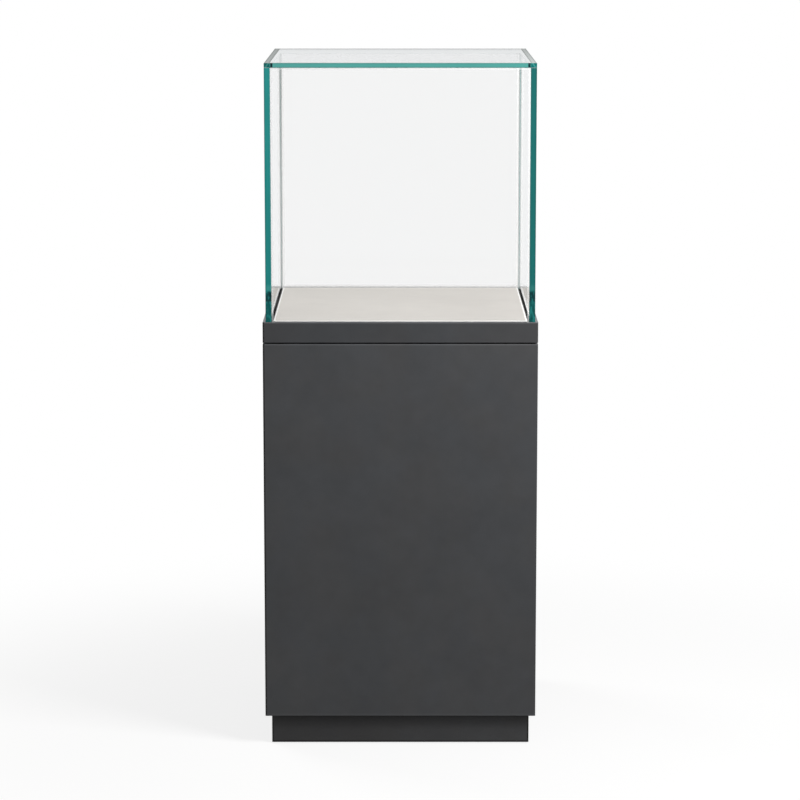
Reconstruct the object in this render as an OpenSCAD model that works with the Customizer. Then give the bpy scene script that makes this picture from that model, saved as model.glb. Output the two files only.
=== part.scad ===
// Pedestal display case. A lacquered board pedestal stands on a recessed base
// with levelling feet. An aluminium collar on top holds a lift-out display deck
// and the bottom edge of an all-glass hood, which lifts off and is held down by
// a quarter-turn lock on each side. The rear has a drawer for drying gel, open
// to the air under the deck, and a door for reaching the inside.
// The origin is on the floor, at the centre of the footprint. +Z is up, the
// front faces -Y. All sizes are in millimetres.

/* [Heights] */
// Gap under the base when the feet are wound right in
foot_clearance = 2; // [1:0.5:5]
// Height of the recessed base
base_h = 64; // [60:1:110]
// Height of the pedestal's body
body_h = 836; // [800:1:1000]
// Height of the shadow gap between body and collar
seam_h = 3; // [2:0.5:6]
// Height of the collar's face
collar_h = 45; // [42:1:60]
// Height of the hood above the collar
hood_rise = 561; // [300:1:900]

/* [Footprint] */
// Side of the square body and collar
case_w = 600; // [560:5:760]
// Set-back of the base behind the body's faces
base_setback = 14; // [5:1:30]
// Radius of the body's and base's upright outer edges
corner_r = 2; // [1:0.5:6]
// Bevel on the painted outer edges
edge_bevel = 0.8; // [0.3:0.1:1.5]

/* [Boards] */
// Thickness of the body's boards
board_t = 18; // [15:1:22]
// Thickness of the base's boards
base_board_t = 18; // [15:1:22]
// Side of the square battens in the body's corners
batten_w = 22; // [18:1:30]
// Side of the air opening in the top panel
air_opening_w = 360; // [200:5:420]
// Gap round the battens where a board is notched for them
batten_gap = 0.5; // [0.2:0.1:2]

/* [Collar] */
// Depth of the collar's section, from its face inwards
collar_depth = 45; // [40:1:60]
// Height of the collar's closed box under the glass
collar_box_h = 20; // [18:1:24]
// Wall thickness of the collar's extrusion
collar_wall = 3; // [2:0.5:4]
// Width of the lip outside the glass
lip_w = 5.7; // [4:0.1:9]
// Length of each arm of a corner cleat
cleat_arm = 75; // [60:1:100]
// Gap round a corner cleat inside the extrusion
cleat_gap = 0.2; // [0.1:0.1:0.5]
// Set-back of the seal in the shadow gap
seal_setback = 12; // [6:1:16]
// Width of the seal in the shadow gap
seal_w = 26; // [20:1:30]

/* [Glass hood] */
// Thickness of the laminated glass walls
wall_glass_t = 12.8; // [8:0.2:16]
// Thickness of the glass top
top_glass_t = 10; // [8:0.2:16]
// Arris ground on the glass edges
glass_arris = 0.6; // [0.3:0.1:1]
// Clear bond line between two pieces of glass
bond_t = 0.1; // [0.05:0.05:0.3]
// Gap between the collar's lip and the glass
hood_gap = 0.8; // [0.5:0.1:2]
// Thickness of the gasket under the hood
gasket_t = 3; // [2:0.5:5]
// Thickness of the steel angle round the hood's bottom edge
frame_t = 1.5; // [1:0.1:2]
// Height of that steel angle
frame_h = 18; // [12:1:19]

/* [Display deck] */
// Thickness of the whole deck
deck_t = 18; // [12:0.5:20]
// Thickness of the deck's facing sheet
facing_t = 2.5; // [2:0.1:4]
// Bevel on the facing's top edges
facing_bevel = 1.4; // [0.5:0.1:1.8]
// Gap between the deck and the hood's steel angle
deck_gap = 1.7; // [0.5:0.1:3]

/* [Hood locks] */
// Radius of the lock's shaft
shaft_r = 4; // [3:0.5:4.5]
// Radius of the lock's fixed sleeve
sleeve_r = 6.5; // [6:0.5:6.5]
// Length of the lock's fixed sleeve
sleeve_l = 9; // [7:0.5:9.5]
// Running clearance round turning and sliding round parts
run_gap = 0.05; // [0.02:0.01:0.1]
// Depth of the sleeve's recess for the lock's head
head_recess = 2; // [1.5:0.1:3]
// Distance of the striker plate in from the collar's face
striker_in = 11.5; // [11.5:0.1:12.5]
// Thickness of the striker plate
striker_t = 3; // [2:0.5:4]
// Width of the striker plate
striker_w = 30; // [20:1:50]
// Gap round the striker plate in its slot, and at its ends
striker_gap = 1; // [0.8:0.1:1.4]
// Gap round the shaft in the striker's notch
notch_gap = 0.3; // [0.2:0.1:0.6]
// Step from the lock's shaft out to its head
head_step = 1.5; // [1:0.1:1.9]
// Recess of the head's face in the sleeve
head_in = 0.3; // [0.1:0.1:0.6]
// Thickness of the ring that keeps the shaft in its sleeve
ring_t = 0.8; // [0.6:0.1:1]
// Step from the shaft out to that ring
ring_step = 1; // [0.6:0.1:1.5]
// Length of the shaft past the striker's slot
shaft_tail = 4; // [2:0.5:10]
// Width of the slot in the lock's head
coin_slot_w = 1.2; // [0.8:0.1:1.5]
// Length of the slot in the lock's head
coin_slot_l = 7.7; // [6:0.1:9]
// Depth of the slot in the lock's head
coin_slot_depth = 1; // [0.5:0.1:1.4]

/* [Rear drawer and door] */
// Width of the rear panel on each side of its openings
stile_w = 50; // [46:1:90]
// Gap round the drawer front and the door
front_gap = 2; // [1.5:0.1:3]
// Height of the body left above the drawer opening
top_rail_h = 36; // [30:1:60]
// Height of the drawer opening
drawer_opening_h = 120; // [114:1:160]
// Height of the rail between drawer and door
mid_rail_h = 40; // [36:1:60]
// Height of the body left below the door opening
bottom_rail_h = 58; // [40:1:120]
// Length of the drawer's tray
tray_l = 400; // [300:5:480]
// Height of the drawer's tray
tray_h = 70; // [60:1:72]
// Sheet thickness of the tray
tray_t = 1.5; // [1:0.1:2]
// Gap between the tray's bottom and the drawer front's bottom edge
tray_rise = 4; // [2:1:8]
// Thickness of a drawer runner, between cheek and tray
runner_t = 13; // [12:0.5:16]
// Height of a drawer runner
runner_h = 30; // [24:1:40]
// Sheet thickness of a drawer runner
runner_sheet = 1.5; // [1:0.1:2]
// Gap between the fixed and the sliding part of a runner
runner_gap = 0.5; // [0.3:0.1:1]
// Thickness of the cheeks that carry the runners
cheek_t = 15; // [12:1:16]
// Distance of the door's pivots in from its edge
pivot_in = 16; // [15:0.5:24]
// Distance of the door's pivots in from its outer face
pivot_back = 6; // [5.5:0.1:6.5]
// Radius of the door's pivot pins
pivot_r = 2.5; // [2:0.1:3]
// Radius of the door's bushes
bush_r = 4; // [3.5:0.1:4.5]
// Length of the door's bushes
bush_l = 12; // [12:1:20]
// Length of each pivot pin in its bush
pivot_in_bush = 10; // [6:1:11]
// Length of each pivot pin in its rail
pivot_in_rail = 14; // [10:1:18]
// Overlap of the door stops behind the door
stop_overlap = 8; // [5:1:10]
// Thickness of the door stops
stop_t = 12; // [9:1:15]
// Width of the lower door stop
stop_w = 16; // [12:1:30]
// Length of the door stops
stop_l = 300; // [150:5:340]
// Rise of the drawer shelf above the door opening
shelf_rise = 8; // [4:1:16]
// Length of the cheeks past the front end of the tray
cheek_past_tray = 12; // [0:1:40]

/* [Cam locks] */
// Radius of a cam lock's body
cam_body_r = 9; // [8:0.5:10]
// Radius of a cam lock's rim
rim_r = 11; // [10.5:0.5:12]
// Thickness of a cam lock's rim
rim_t = 1.5; // [1:0.1:2]
// Radius of a cam lock's turning plug
plug_r = 6; // [5:0.5:7]
// Length of the cam, from the plug's axis to its tip
cam_l = 38; // [36:1:42]
// Width of the cam
cam_w = 14; // [12:1:16]
// Thickness of the cam
cam_t = 3; // [2:0.5:4]
// Distance of a cam lock's axis in from the edge it locks
lock_in = 28; // [27:1:30]
// Length of a cam lock's body past the inner face of its board
cam_body_past = 1.5; // [1:0.1:3]
// Recess of the plug's face in the lock's rim
plug_recess = 0.5; // [0.2:0.1:1]
// Width of the key slots
key_slot_w = 1.5; // [1:0.1:2]
// Length of the key slots
key_slot_l = 8; // [6:0.5:9]
// Depth of the key slots
key_slot_depth = 3; // [1:0.5:5]

/* [Levelling feet] */
// Radius of a foot's pad
pad_r = 25; // [16:1:27]
// Thickness of a foot's pad
pad_h = 8; // [6:1:10]
// Radius of the boss on a pad
boss_r = 9; // [8:0.5:12]
// Height of the boss above a pad
boss_h = 4; // [3:0.5:5]
// Radius of the threaded stud
stud_r = 5; // [4:0.5:6]
// Height of the stud's hexagon
hex_h = 8; // [6:1:9]
// Width across the flats of the stud's hexagon
hex_af = 17; // [14:1:22]
// Side of the block that each stud screws into
block_w = 56; // [54:1:80]
// Radius of the holes through which the feet are turned from inside
access_r = 6; // [4:0.5:8]
// Gap above and below the stud's hexagon
hex_gap = 1; // [0.5:0.5:3]
// Depth of the stud's end below the body
stud_below = 4; // [2:1:10]
// Depth that a stud sits in its pad
stud_seat = 4; // [3:0.5:5]
// Width across the flats of the socket in a stud's end
socket_af = 5; // [4:0.5:6]
// Depth of the socket in a stud's end
socket_depth = 6; // [4:0.5:10]

/* [Fasteners] */
// Radius of the bolts that hold the collar down
bolt_r = 3; // [2.5:0.5:3]
// Distance of those bolts from the middle of each side
bolt_offset = 150; // [60:5:190]
// Height of a bolt's head
bolt_head_h = 5; // [4:0.5:6]
// Height of the nuts inside the collar
nut_h = 5; // [4:0.5:7]
// Width across the flats of those nuts and heads
nut_af = 9; // [8:0.5:10]
// Radius of the screws that hold the cleats
cleat_screw_r = 2.5; // [2:0.5:3]
// Distance of those screws from the ends of the cleats
cleat_screw_in = 12; // [6:1:20]
// Radius of the wood screws
screw_r = 2; // [1.5:0.5:2.5]
// Radius of a wood screw's head
screw_head_r = 4; // [3.5:0.5:5]
// Length of the wood screws
screw_l = 34; // [30:1:36]
// Distance of the end screws from the ends of the battens
screw_end = 80; // [40:5:200]
// Step in height between the screws in the two faces of a batten
screw_stagger = 14; // [10:1:30]

/* [Hidden] */
$fn = 48;

// The four sides, as quarter turns from the front
FRONT = 0;
RIGHT = 1;
REAR = 2;
LEFT = 3;

// Cuts run this far past the faces that they open
past = 1;

// Heights
base_z = foot_clearance;
body_z = base_z + base_h;
body_top = body_z + body_h;
collar_z = body_top + seam_h;
collar_top = collar_z + collar_h;
hood_top = collar_top + hood_rise;
ledge_z = collar_z + collar_box_h;
frame_z = ledge_z + gasket_t;
glass_z = frame_z + frame_t;
deck_z = collar_top - deck_t;

// Body and base
inner_w = case_w - 2 * board_t;
base_w = case_w - 2 * base_setback;
base_inner_w = base_w - 2 * base_board_t;
batten_z = body_z + board_t;
batten_h = body_h - 2 * board_t;

// Hood and deck
hood_in = lip_w + hood_gap;
hood_w = case_w - 2 * hood_in;
wall_glass_h = hood_top - top_glass_t - bond_t - glass_z;
short_wall_l = hood_w - 2 * (wall_glass_t + bond_t);
deck_in = hood_in + wall_glass_t + frame_t + deck_gap;
deck_w = case_w - 2 * deck_in;

// Hood lock
lock_z = collar_z + collar_box_h / 2;
head_r = shaft_r + head_step;
slot_w = striker_t + 2 * striker_gap;
slot_in = striker_in - striker_gap;
shaft_end = slot_in + slot_w + shaft_tail;
striker_bottom = collar_z + collar_wall + striker_gap;

// Rear openings
opening_w = case_w - 2 * stile_w;
drawer_opening_top = body_top - top_rail_h;
drawer_opening_z = drawer_opening_top - drawer_opening_h;
door_opening_top = drawer_opening_z - mid_rail_h;
door_opening_z = body_z + bottom_rail_h;
front_w = opening_w - 2 * front_gap;
drawer_front_z = drawer_opening_z + front_gap;
drawer_front_h = drawer_opening_h - 2 * front_gap;
door_z = door_opening_z + front_gap;
door_h = door_opening_top - door_opening_z - 2 * front_gap;
rear_inner_y = case_w / 2 - board_t;
shelf_z = door_opening_top + shelf_rise;
cheek_z = shelf_z + board_t;
cheek_h = body_top - board_t - cheek_z;
cheek_l = tray_l + cheek_past_tray;
tray_z = drawer_front_z + tray_rise;
tray_w = opening_w - 2 * runner_t;
runner_z = tray_z + tray_h / 2 - runner_h / 2;
runner_depth = runner_t - runner_sheet - runner_gap;
pivot_x = -front_w / 2 + pivot_in;
pivot_y = case_w / 2 - pivot_back;

// Cam locks
cam_body_l = board_t + cam_body_past;
door_lock_x = front_w / 2 - lock_in;
door_lock_z = door_z + door_h / 2;
drawer_lock_z = drawer_front_z + drawer_front_h - lock_in;

// Feet
foot_at = base_inner_w / 2 - block_w / 2;
boss_top = pad_h + boss_h;
hex_z = boss_top + hex_gap;
block_z = hex_z + hex_h + hex_gap;
stud_top = body_z - stud_below;

// Fasteners
screw_head_h = screw_head_r - screw_r;
bolt_in = board_t + (stile_w - board_t - cheek_t) / 2;
bolt_l = board_t + seam_h + collar_wall + nut_h;

paint = [0.22, 0.225, 0.24];
paint_dark = [0.15, 0.15, 0.16];
board_colour = [0.72, 0.62, 0.48];
deck_colour = [0.84, 0.82, 0.8];
steel = [0.7, 0.71, 0.72];
brass = [0.78, 0.66, 0.38];
black = [0.1, 0.1, 0.1];
glass_colour = [0.55, 0.8, 0.78, 0.35];
zinc = [0.62, 0.64, 0.66];

// ---- Shapes that repeat ----

// Turns a piece made for the front to another side
module on_side(side) rotate([0, 0, 90 * side]) children();

// Repeats what is made for the front left corner in all four corners
module in_corners() for (side = [0:3]) on_side(side) children();

// Runs a section along the front: section x goes inwards from the face of a
// square of width w, section y goes up from height z
module front_run(w, z) {
    translate([0, -w / 2, z]) rotate([90, 0, 90]) linear_extrude(w, center = true) children();
}

module rounded_square(w, r) {
    square([w, w - 2 * r], center = true);
    square([w - 2 * r, w], center = true);
    for (x = [-1, 1], y = [-1, 1]) translate([x, y] * (w / 2 - r)) circle(r);
}

// The front quarter of a square frame, cut by mitres
module mitre(w, depth) {
    polygon([
        [-w / 2, -w / 2], [w / 2, -w / 2],
        [w / 2 - depth, -w / 2 + depth], [-w / 2 + depth, -w / 2 + depth]
    ]);
}

// A section run along the front and mitred at both ends
module mitred_run(w, depth, z, h) {
    intersection() {
        front_run(w, z) children();
        translate([0, 0, z]) linear_extrude(h) intersection() {
            rounded_square(w, corner_r);
            mitre(w, depth);
        }
    }
}

// A board's section with bevelled outer edges
module board_section(t, h) {
    polygon([[edge_bevel, 0], [t, 0], [t, h], [edge_bevel, h], [0, h - edge_bevel], [0, edge_bevel]]);
}

module square_ring(w, inner, z, h) {
    translate([0, 0, z]) linear_extrude(h) difference() {
        square(w, center = true);
        square(inner, center = true);
    }
}

// A plate with all its edges bevelled
module bevelled_rectangle(size, bevel) {
    x = size[0] / 2;
    y = size[1] / 2;
    polygon([
        [bevel - x, -y], [x - bevel, -y], [x, bevel - y], [x, y - bevel],
        [x - bevel, y], [bevel - x, y], [-x, y - bevel], [-x, bevel - y]
    ]);
}

module bevelled_plate(size, bevel) {
    intersection() {
        linear_extrude(size[2], center = true) bevelled_rectangle([size[0], size[1]], bevel);
        rotate([90, 0, 0]) linear_extrude(size[1], center = true)
            bevelled_rectangle([size[0], size[2]], bevel);
        rotate([90, 0, 90]) linear_extrude(size[0], center = true)
            bevelled_rectangle([size[1], size[2]], bevel);
    }
}

module hexagon(af, h) cylinder(h = h, d = af / cos(30), $fn = 6);

// A box between two opposite corners
module box(low, high) translate(low) cube(high - low);

// ---- Base ----

module base_rail(side) {
    color(paint_dark) on_side(side)
        mitred_run(base_w, base_board_t, base_z, base_h) board_section(base_board_t, base_h);
}
module base_front() base_rail(FRONT);
module base_right() base_rail(RIGHT);
module base_rear() base_rail(REAR);
module base_left() base_rail(LEFT);

// The blocks in the base's corners, each with a threaded hole for a foot
module foot_blocks() {
    color(board_colour) in_corners() difference() {
        translate([-base_inner_w / 2, -base_inner_w / 2, block_z])
            cube([block_w, block_w, body_z - block_z]);
        translate([-foot_at, -foot_at, block_z - past])
            cylinder(h = body_z - block_z + 2 * past, r = stud_r + run_gap);
    }
}

module foot_pad(side) {
    color(black) on_side(side) translate([-foot_at, -foot_at, 0]) difference() {
        union() {
            cylinder(h = pad_h, r = pad_r);
            cylinder(h = boss_top, r = boss_r);
        }
        translate([0, 0, pad_h - stud_seat]) cylinder(h = boss_top, r = stud_r + run_gap);
    }
}
module foot_pad_front_left() foot_pad(FRONT);
module foot_pad_front_right() foot_pad(RIGHT);
module foot_pad_rear_right() foot_pad(REAR);
module foot_pad_rear_left() foot_pad(LEFT);

// The stud turns in its pad and has a hexagon socket in its top end
module foot_stud(side) {
    color(zinc) on_side(side) translate([-foot_at, -foot_at, 0]) difference() {
        union() {
            translate([0, 0, pad_h - stud_seat]) cylinder(h = stud_top - pad_h + stud_seat, r = stud_r);
            translate([0, 0, hex_z]) hexagon(hex_af, hex_h);
        }
        translate([0, 0, stud_top - socket_depth]) hexagon(socket_af, socket_depth + past);
    }
}
module foot_stud_front_left() foot_stud(FRONT);
module foot_stud_front_right() foot_stud(RIGHT);
module foot_stud_rear_right() foot_stud(REAR);
module foot_stud_rear_left() foot_stud(LEFT);

// ---- Body ----

// A wood screw that starts at the origin and points up
module wood_screw() {
    cylinder(h = screw_head_h, r1 = screw_head_r, r2 = screw_r);
    cylinder(h = screw_l, r = screw_r);
}

// The screws from each batten into the two panels beside it
module batten_screws() {
    middle = -inner_w / 2 + batten_w / 2;
    face = -inner_w / 2 + batten_w;
    levels = [batten_z + screw_end, batten_z + batten_h / 2, batten_z + batten_h - screw_end];
    in_corners() for (z = levels) {
        translate([middle, face, z]) rotate([90, 0, 0]) wood_screw();
        translate([face, middle, z + screw_stagger]) rotate([0, -90, 0]) wood_screw();
    }
}

module body_wall(side) {
    difference() {
        on_side(side) mitred_run(case_w, board_t, body_z, body_h) board_section(board_t, body_h);
        batten_screws();
    }
}
module front_panel() color(paint) body_wall(FRONT);
module right_panel() color(paint) body_wall(RIGHT);
module left_panel() color(paint) body_wall(LEFT);

module rear_opening(z, h) {
    translate([-opening_w / 2, rear_inner_y - past, z]) cube([opening_w, board_t + 2 * past, h]);
}

module rear_panel() {
    color(paint) difference() {
        body_wall(REAR);
        rear_opening(drawer_opening_z, drawer_opening_h);
        rear_opening(door_opening_z, door_opening_top - door_opening_z);
        door_pivots();
    }
}

module bottom_panel() {
    color(board_colour) difference() {
        translate([-inner_w / 2, -inner_w / 2, body_z]) cube([inner_w, inner_w, board_t]);
        in_corners() translate([-foot_at, -foot_at, body_z - past])
            cylinder(h = board_t + 2 * past, r = access_r);
    }
}

module top_panel() {
    color(board_colour) difference() {
        square_ring(inner_w, air_opening_w, body_top - board_t, board_t);
        collar_bolt_places() bolt_shank();
    }
}

// The room that a board leaves for the battens
module batten_notches() {
    notch = batten_w + batten_gap + past;
    in_corners() translate([-inner_w / 2 - past, -inner_w / 2 - past, batten_z])
        cube([notch, notch, batten_h]);
}

module drawer_shelf() {
    color(board_colour) difference() {
        translate([-inner_w / 2, -inner_w / 2, shelf_z]) cube([inner_w, inner_w, board_t]);
        batten_notches();
    }
}

module corner_battens() {
    color(board_colour) difference() {
        in_corners() translate([-inner_w / 2, -inner_w / 2, batten_z])
            cube([batten_w, batten_w, batten_h]);
        batten_screws();
    }
}

module panel_screws() color(zinc) batten_screws();

// The boards on each side of the drawer that carry its runners
module drawer_cheeks() {
    color(board_colour) difference() {
        for (side = [-1, 1])
            translate([side * (opening_w + cheek_t) / 2, rear_inner_y - cheek_l / 2, cheek_z])
                translate([0, 0, cheek_h / 2]) cube([cheek_t, cheek_l, cheek_h], center = true);
        batten_notches();
    }
}

// The strips behind the door's top and bottom edges
module door_stops() {
    color(board_colour) {
        box([-stop_l / 2, rear_inner_y - stop_t, door_opening_top - stop_overlap],
            [stop_l / 2, rear_inner_y, shelf_z]);
        box([-stop_l / 2, rear_inner_y - stop_t, door_opening_z + stop_overlap - stop_w],
            [stop_l / 2, rear_inner_y, door_opening_z + stop_overlap]);
    }
}

// ---- Collar ----

module collar_section() {
    difference() {
        union() {
            polygon([
                [edge_bevel, 0], [collar_depth, 0], [collar_depth, collar_box_h],
                [lip_w, collar_box_h], [lip_w, collar_h - edge_bevel], [lip_w - edge_bevel, collar_h],
                [edge_bevel, collar_h], [0, collar_h - edge_bevel], [0, edge_bevel]
            ]);
            translate([collar_depth - collar_wall, 0]) square([collar_wall, deck_z - collar_z]);
        }
        translate([collar_wall, collar_wall])
            square([collar_depth - 2 * collar_wall, collar_box_h - 2 * collar_wall]);
    }
}

module collar_rail(side) {
    difference() {
        on_side(side) mitred_run(case_w, collar_depth, collar_z, collar_h) collar_section();
        collar_bolt_places() bolt_shank();
        cleat_screws_all();
    }
}

// A side rail also has the sleeve's hole and the striker's slot
module lock_rail(side) {
    difference() {
        collar_rail(side);
        on_side(side) {
            lock_axis() translate([0, 0, -past]) cylinder(h = collar_wall + 2 * past, r = sleeve_r);
            striker_slot(ledge_z - collar_wall - past, ledge_z + past);
        }
    }
}
module collar_front() color(paint) collar_rail(FRONT);
module collar_rear() color(paint) collar_rail(REAR);
module collar_right() color(paint) lock_rail(RIGHT);
module collar_left() color(paint) lock_rail(LEFT);

// The L-shaped pieces inside the collar that join its mitred corners
module collar_cleats() {
    low = -case_w / 2 + collar_wall + cleat_gap;
    high = -case_w / 2 + collar_depth - collar_wall - cleat_gap;
    far = low + cleat_arm;
    z = collar_z + collar_wall;
    color(steel) difference() {
        in_corners() {
            box([low, low, z], [far, high, z + collar_box_h - 2 * collar_wall - cleat_gap]);
            box([low, low, z], [high, far, z + collar_box_h - 2 * collar_wall - cleat_gap]);
        }
        cleat_screws_all();
    }
}

module cleat_screws_all() {
    along = -case_w / 2 + cleat_arm - cleat_screw_in;
    middle = -case_w / 2 + collar_depth / 2;
    in_corners() for (place = [[along, middle], [middle, along]])
        translate([place[0], place[1], collar_z])
            cylinder(h = collar_box_h - 2 * collar_wall, r = cleat_screw_r);
}
module cleat_screws() color(zinc) cleat_screws_all();

// Two bolts on each side hold the collar down from inside the body
module collar_bolt_places() {
    in_corners() for (x = [-bolt_offset, bolt_offset])
        translate([x, -case_w / 2 + bolt_in, body_top - board_t]) children();
}
module bolt_shank() cylinder(h = bolt_l, r = bolt_r);
module collar_bolts() {
    color(zinc) collar_bolt_places() {
        bolt_shank();
        translate([0, 0, -bolt_head_h]) hexagon(nut_af, bolt_head_h);
    }
}
module collar_nuts() {
    color(zinc) collar_bolt_places() translate([0, 0, bolt_l - nut_h]) difference() {
        hexagon(nut_af, nut_h);
        translate([0, 0, -past]) cylinder(h = nut_h + 2 * past, r = bolt_r);
    }
}

module collar_seal() {
    color(black) difference() {
        square_ring(case_w - 2 * seal_setback, case_w - 2 * (seal_setback + seal_w), body_top, seam_h);
        collar_bolt_places() bolt_shank();
    }
}

// ---- Hood ----

module hood_gasket() {
    color(black) difference() {
        square_ring(hood_w, hood_w - 2 * wall_glass_t, ledge_z, gasket_t);
        for (side = [LEFT, RIGHT]) on_side(side) striker_slot(ledge_z - past, frame_z + past);
    }
}

// A glass wall of length l on one side of the hood
module glass_wall(side, l) {
    color(glass_colour) on_side(side)
        translate([0, -hood_w / 2 + wall_glass_t / 2, glass_z + wall_glass_h / 2])
            bevelled_plate([l, wall_glass_t, wall_glass_h], glass_arris);
}
module glass_front() glass_wall(FRONT, short_wall_l);
module glass_rear() glass_wall(REAR, short_wall_l);
module glass_right() glass_wall(RIGHT, hood_w);
module glass_left() glass_wall(LEFT, hood_w);
module glass_top() {
    color(glass_colour) translate([0, 0, hood_top - top_glass_t / 2])
        bevelled_plate([hood_w, hood_w, top_glass_t], glass_arris);
}

// The steel angle that the glass walls stand in
module hood_frame() {
    inside = hood_w - 2 * wall_glass_t;
    color(steel) {
        square_ring(hood_w, inside - 2 * frame_t, frame_z, frame_t);
        square_ring(inside, inside - 2 * frame_t, frame_z, frame_h);
    }
}

// A cylinder made here runs inwards along a side lock's axis
module lock_axis() translate([0, -case_w / 2, lock_z]) rotate([-90, 0, 0]) children();

module striker_slot(low, high) {
    y = -case_w / 2 + slot_in;
    box([-striker_w - striker_gap, y, low], [striker_gap, y + slot_w, high]);
}

// The plate under the hood's steel angle, with a half-round notch in one edge
module striker(side) {
    y = -case_w / 2 + striker_in;
    color(steel) on_side(side) difference() {
        box([-striker_w, y, striker_bottom], [-notch_gap, y + striker_t, frame_z]);
        lock_axis() translate([0, 0, striker_in - past])
            cylinder(h = striker_t + 2 * past, r = shaft_r + notch_gap);
    }
}
module striker_right() striker(RIGHT);
module striker_left() striker(LEFT);

module lock_sleeve(side) {
    color(brass) on_side(side) lock_axis() difference() {
        cylinder(h = sleeve_l, r = sleeve_r);
        translate([0, 0, -past]) cylinder(h = sleeve_l + 2 * past, r = shaft_r + run_gap);
        translate([0, 0, -past]) cylinder(h = head_recess + past, r = head_r + run_gap);
    }
}
module lock_sleeve_right() lock_sleeve(RIGHT);
module lock_sleeve_left() lock_sleeve(LEFT);

// Half of the shaft is cut away beside the striker, so that a quarter turn
// swings the other half into the striker's notch
module lock_shaft(side) {
    color(steel) on_side(side) lock_axis() difference() {
        union() {
            translate([0, 0, head_in]) cylinder(h = head_recess - head_in, r = head_r);
            translate([0, 0, head_in]) cylinder(h = shaft_end - head_in, r = shaft_r);
            translate([0, 0, sleeve_l + run_gap]) cylinder(h = ring_t, r = shaft_r + ring_step);
        }
        box([-2 * shaft_r, -2 * shaft_r, slot_in], [0, 2 * shaft_r, slot_in + slot_w]);
        box([-coin_slot_w / 2, -coin_slot_l / 2, 0],
            [coin_slot_w / 2, coin_slot_l / 2, head_in + coin_slot_depth]);
    }
}
module lock_shaft_right() lock_shaft(RIGHT);
module lock_shaft_left() lock_shaft(LEFT);

// ---- Display deck ----

module deck_board() {
    color(board_colour) translate([-deck_w / 2, -deck_w / 2, deck_z])
        cube([deck_w, deck_w, deck_t - facing_t]);
}

// The facing has a bevel round its top edges
module deck_facing() {
    color(deck_colour) intersection() {
        translate([-deck_w / 2, -deck_w / 2, collar_top - facing_t]) cube([deck_w, deck_w, facing_t]);
        translate([0, 0, deck_z]) bevelled_plate([deck_w, deck_w, 2 * deck_t], facing_bevel);
    }
}

// ---- Rear drawer ----

module drawer_front() {
    color(paint) difference() {
        rear_leaf(drawer_front_z, drawer_front_h);
        translate([0, 0, drawer_lock_z]) lock_hole();
    }
}

// A drawer front or door with bevelled outer edges
module rear_leaf(z, h) {
    translate([0, rear_inner_y, z + h / 2]) intersection() {
        bevelled_plate([front_w, 2 * board_t, h], edge_bevel);
        box([-front_w, 0, -h], [front_w, board_t, h]);
    }
}

module drawer_tray() {
    y = rear_inner_y - tray_l;
    x = tray_w / 2;
    color(steel) difference() {
        box([-x, y, tray_z], [x, rear_inner_y, tray_z + tray_h]);
        box([-x + tray_t, y + tray_t, tray_z + tray_t],
            [x - tray_t, rear_inner_y - tray_t, tray_z + tray_h + past]);
    }
}

// A channel along Y, open towards -X, with its back at the origin
module runner_channel(depth, h) {
    rotate([90, 0, 0]) linear_extrude(tray_l, center = true) difference() {
        translate([-depth, -h / 2]) square([depth, h]);
        translate([-depth - past, -h / 2 + runner_sheet])
            square([depth - runner_sheet + past, h - 2 * runner_sheet]);
    }
}

module runner_place(x) {
    translate([x, rear_inner_y - tray_l / 2, runner_z + runner_h / 2]) children();
}

// The runners' fixed channels, on the cheeks
module drawer_runners() {
    color(zinc) for (side = [0, 1]) mirror([side, 0, 0])
        runner_place(opening_w / 2) runner_channel(runner_depth, runner_h);
}

// The runners' sliding channels, on the tray
module drawer_slides() {
    color(zinc) for (side = [0, 1]) mirror([side, 0, 0])
        runner_place(tray_w / 2) rotate([0, 0, 180])
            runner_channel(runner_depth, runner_h - 2 * (runner_sheet + runner_gap));
}

// ---- Cam locks ----

// Places what is made along +Z so that it runs inwards from the rear face
module lock_at(x, z) translate([x, case_w / 2, z]) rotate([90, 0, 0]) children();

module lock_hole() {
    lock_at(0, 0) {
        translate([0, 0, -past]) cylinder(h = board_t + 2 * past, r = cam_body_r);
        translate([0, 0, -past]) cylinder(h = rim_t + past, r = rim_r);
    }
}

module cam_lock_body() {
    color(zinc) difference() {
        union() {
            cylinder(h = rim_t, r = rim_r);
            cylinder(h = cam_body_l, r = cam_body_r);
        }
        translate([0, 0, -past]) cylinder(h = cam_body_l + 2 * past, r = plug_r + run_gap);
    }
}

// The plug and its cam, which points along +X
module cam_lock_plug() {
    back = cam_body_l + run_gap;
    color(steel) difference() {
        union() {
            translate([0, 0, plug_recess]) cylinder(h = back + cam_t - plug_recess, r = plug_r);
            translate([0, 0, back]) cylinder(h = cam_t, r = cam_w / 2);
            box([0, -cam_w / 2, back], [cam_l, cam_w / 2, back + cam_t]);
        }
        box([-key_slot_w / 2, -key_slot_l / 2, -past],
            [key_slot_w / 2, key_slot_l / 2, plug_recess + key_slot_depth]);
    }
}

module drawer_lock_body() lock_at(0, drawer_lock_z) cam_lock_body();
module drawer_lock_cam() lock_at(0, drawer_lock_z) cam_lock_plug();
module door_lock_body() lock_at(door_lock_x, door_lock_z) cam_lock_body();
module door_lock_cam() lock_at(door_lock_x, door_lock_z) rotate([0, 0, -90]) cam_lock_plug();

// ---- Rear door ----

module access_door() {
    color(paint) difference() {
        rear_leaf(door_z, door_h);
        bush_places() cylinder(h = bush_l, r = bush_r);
        translate([door_lock_x, 0, door_lock_z]) lock_hole();
    }
}

// Both ends of the door's axis, each as if it was the bottom one
module bush_places() {
    translate([pivot_x, pivot_y, door_z]) children();
    translate([pivot_x, pivot_y, door_z + door_h]) mirror([0, 0, 1]) children();
}

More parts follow.
